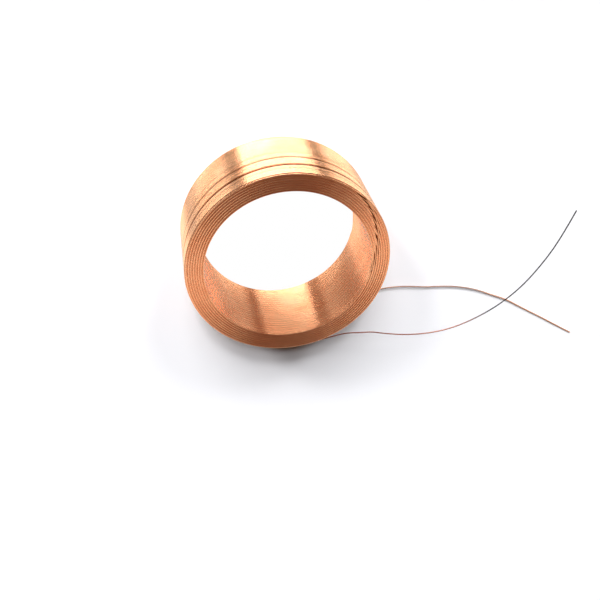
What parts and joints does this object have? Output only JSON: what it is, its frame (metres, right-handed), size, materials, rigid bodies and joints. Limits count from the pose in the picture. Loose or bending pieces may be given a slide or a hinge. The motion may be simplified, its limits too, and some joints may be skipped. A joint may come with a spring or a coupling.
{
  "type": "high frequency coil",
  "caption": "Self-supporting round air-core coil of fine enamelled copper wire, with a wide bore and two bent wire ends led out to one side.",
  "frame": {"origin": "centre of the bore in the end that the coil stands on", "axes": "+Z along the bore towards the free top end, +X the way both wire ends run"},
  "size_m": [0.061, 0.0302, 0.0098],
  "materials": {
    "enamelled_copper": "bare bright copper under a clear gloss enamel and bonding coat",
    "lead_wire": "fine enamelled copper wire, the far half of one end dark and tinned"
  },
  "bodies": {
    "root": {"winding": "enamelled_copper", "start_lead": "lead_wire", "finish_lead": "lead_wire"}
  },
  "joints": []
}
